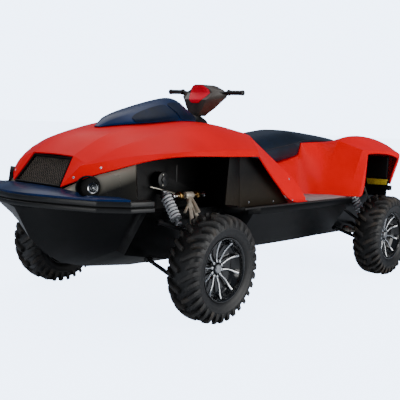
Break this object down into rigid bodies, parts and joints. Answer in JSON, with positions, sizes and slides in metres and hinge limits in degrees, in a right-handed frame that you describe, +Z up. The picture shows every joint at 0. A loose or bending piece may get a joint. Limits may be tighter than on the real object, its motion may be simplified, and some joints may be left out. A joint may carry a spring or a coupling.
{
  "type": "amphibious all-terrain vehicle",
  "caption": "Amphibious quad bike: planing hull, red body, straddle seat, handlebars, lugged tyres on wishbones, and a steered water-jet nozzle with a reverse bucket.",
  "frame": {"origin": "middle of the vehicle's box at ground level", "axes": "+X forward to the bow, +Y to the vehicle's left, +Z up"},
  "size_m": [3.64, 1.6, 1.4],
  "materials": {
    "red_gel_coat": "gloss",
    "black_hull": "satin",
    "navy_gloss": "gloss",
    "seat_vinyl": "gloss",
    "grey_plastic": "moulded",
    "olive_metal": "metallic",
    "black_rubber": "matt",
    "tyre": "matt",
    "steel": "machined",
    "brass": "plated",
    "black_steel": "powder coated",
    "aluminium": "machined",
    "rim_black": "gloss",
    "mat_grey": "matt",
    "lamp_glass": "clear",
    "lamp_red": "clear"
  },
  "bodies": {
    "root": {"hull": "black_hull", "engine_block": "steel", "bow_lip": "black_rubber", "bow_deck": "navy_gloss", "front_body": "red_gel_coat", "grille": "grey_plastic", "front_frame": "black_steel", "rear_body": "red_gel_coat", "seat": "seat_vinyl", "cowl": "navy_gloss", "console": "grey_plastic", "lamp_fairing_left": "olive_metal", "lamp_fairing_right": "olive_metal", "headlamp_left": "lamp_glass", "headlamp_right": "lamp_glass", "side_panel_left": "grey_plastic", "side_panel_right": "grey_plastic", "footboard_left": "mat_grey", "footboard_right": "mat_grey", "arch_liner_left": "black_hull", "arch_liner_right": "black_hull", "tail_lamp_left": "lamp_red", "tail_lamp_right": "lamp_red", "upper_wishbone_left": "black_steel", "upper_wishbone_right": "black_steel", "lower_wishbone_left": "black_steel", "lower_wishbone_right": "black_steel", "pivot_shaft_left": "brass", "pivot_shaft_right": "brass", "lift_link_left": "steel", "lift_link_right": "steel", "rear_arm_left": "black_steel", "rear_arm_right": "black_steel", "front_damper_left": "aluminium", "front_damper_right": "aluminium", "rear_damper_left": "black_steel", "rear_damper_right": "black_steel"},
    "steering": {"handlebar": "black_rubber", "nacelle": "grey_plastic", "nacelle_pad": "red_gel_coat"},
    "rack": {"steering_rack": "steel"},
    "knuckle_left_body": {"knuckle_left": "black_steel"},
    "knuckle_right_body": {"knuckle_right": "black_steel"},
    "wheel_front_left": {"tyre_front_left": "tyre", "rim_front_left": "rim_black"},
    "wheel_front_right": {"tyre_front_right": "tyre", "rim_front_right": "rim_black"},
    "wheel_rear_left": {"tyre_rear_left": "tyre", "rim_rear_left": "rim_black", "half_shaft_left": "steel"},
    "wheel_rear_right": {"tyre_rear_right": "tyre", "rim_rear_right": "rim_black", "half_shaft_right": "steel"},
    "nozzle": {"jet_nozzle": "aluminium"},
    "bucket": {"reverse_bucket": "black_steel"}
  },
  "joints": [
    {"name": "steering_turn", "type": "hinge", "parent": "root", "child": "steering", "pos_m": [0.305, 0, 1.155], "axis": [-0.4281, 0, 0.9037], "range_deg": [-38, 38]},
    {"name": "knuckle_left_turn", "type": "hinge", "parent": "root", "child": "knuckle_left_body", "pos_m": [0.91, 0.555, 0.3175], "axis": [0, 0, 1], "range_deg": [-27, 27]},
    {"name": "knuckle_right_turn", "type": "hinge", "parent": "root", "child": "knuckle_right_body", "pos_m": [0.91, -0.555, 0.3175], "axis": [0, 0, 1], "range_deg": [-27, 27]},
    {"name": "rack_slide", "type": "slide", "parent": "root", "child": "rack", "axis": [0, 1, 0], "range_m": [-0.0495, 0.0495]},
    {"name": "nozzle_turn", "type": "hinge", "parent": "root", "child": "nozzle", "pos_m": [-1.725, 0, 0.35], "axis": [0, 0, 1], "range_deg": [-21, 21]},
    {"name": "bucket_tilt", "type": "hinge", "parent": "nozzle", "child": "bucket", "pos_m": [-1.7591, 0, 0.35], "axis": [0, -1, 0], "range_deg": [0, 78]},
    {"name": "wheel_front_left_spin", "type": "hinge", "parent": "knuckle_left_body", "child": "wheel_front_left", "pos_m": [0.91, 0.695, 0.3175], "axis": [0, 1, 0], "continuous": true},
    {"name": "wheel_front_right_spin", "type": "hinge", "parent": "knuckle_right_body", "child": "wheel_front_right", "pos_m": [0.91, -0.695, 0.3175], "axis": [0, 1, 0], "continuous": true},
    {"name": "wheel_rear_left_spin", "type": "hinge", "parent": "root", "child": "wheel_rear_left", "pos_m": [-1.23, 0.695, 0.3175], "axis": [0, 1, 0], "continuous": true},
    {"name": "wheel_rear_right_spin", "type": "hinge", "parent": "root", "child": "wheel_rear_right", "pos_m": [-1.23, -0.695, 0.3175], "axis": [0, 1, 0], "continuous": true}
  ],
  "couplings": [
    {"joint": "knuckle_left_turn", "follows": "steering_turn", "ratio": 0.7},
    {"joint": "knuckle_right_turn", "follows": "steering_turn", "ratio": 0.7},
    {"joint": "rack_slide", "follows": "steering_turn", "m_per_rad": -0.0742},
    {"joint": "nozzle_turn", "follows": "steering_turn", "ratio": -0.55}
  ]
}
